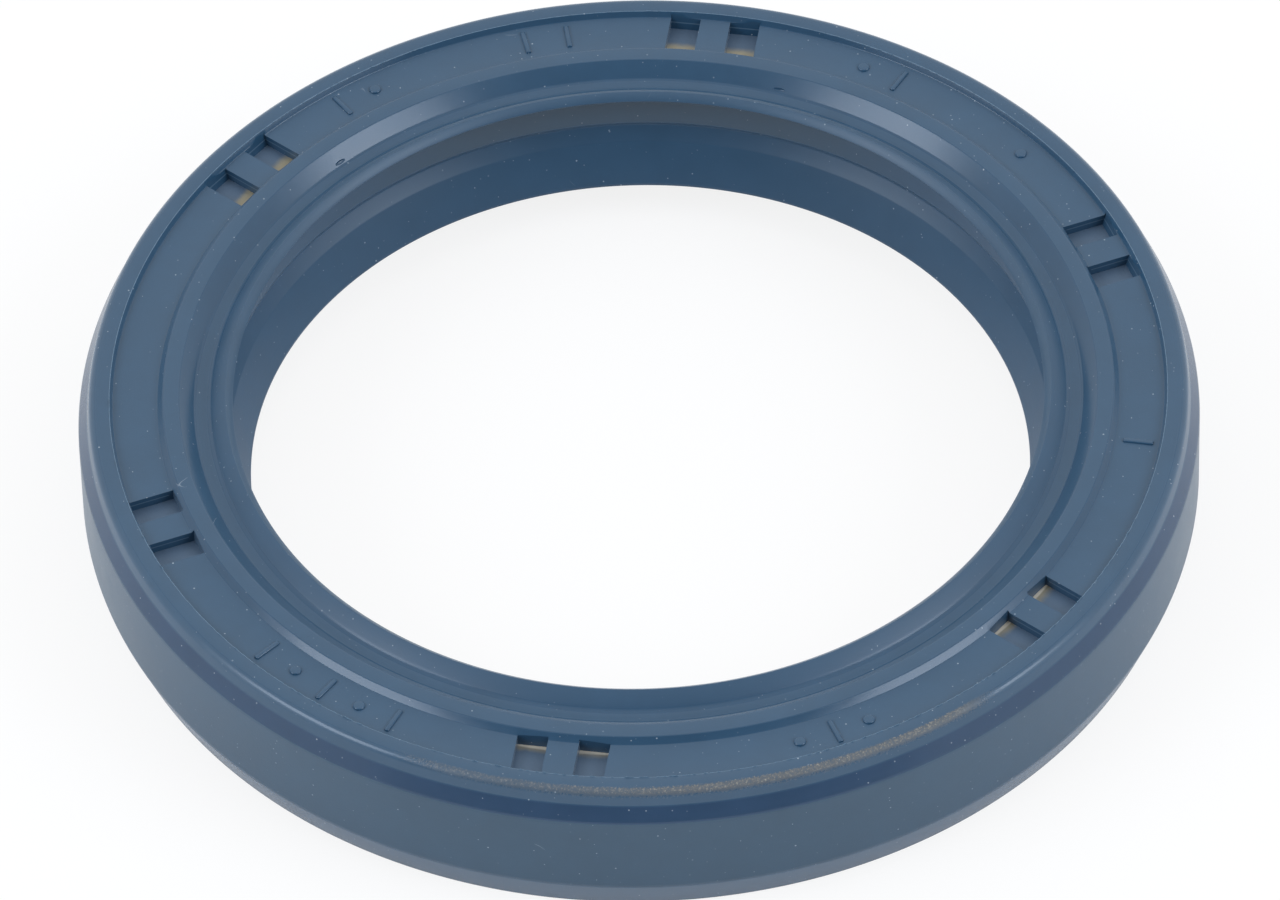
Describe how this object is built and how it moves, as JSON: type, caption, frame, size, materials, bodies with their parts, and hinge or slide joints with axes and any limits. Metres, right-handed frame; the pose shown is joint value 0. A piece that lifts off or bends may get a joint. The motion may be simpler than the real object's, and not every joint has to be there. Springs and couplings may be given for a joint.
{
  "type": "radial shaft seal",
  "caption": "Rubber-covered radial shaft seal with a spring-loaded sealing lip, a dust lip and a moulded-in steel case, lying with its air-side face up.",
  "frame": {"origin": "on the seal's axis, in the plane of the oil-side end that it lies on", "axes": "+Z along the seal's axis towards the air-side face; +X through the middle of one pair of windows"},
  "size_m": [0.055, 0.055, 0.008],
  "materials": {
    "rubber": "satin moulded steel-blue nitrile",
    "case_steel": "phosphated sheet with an uneven gold-brown bonding coat",
    "spring_steel": "drawn spring wire"
  },
  "bodies": {
    "root": {"rubber_body": "rubber", "metal_case": "case_steel", "garter_spring": "spring_steel"}
  },
  "joints": []
}
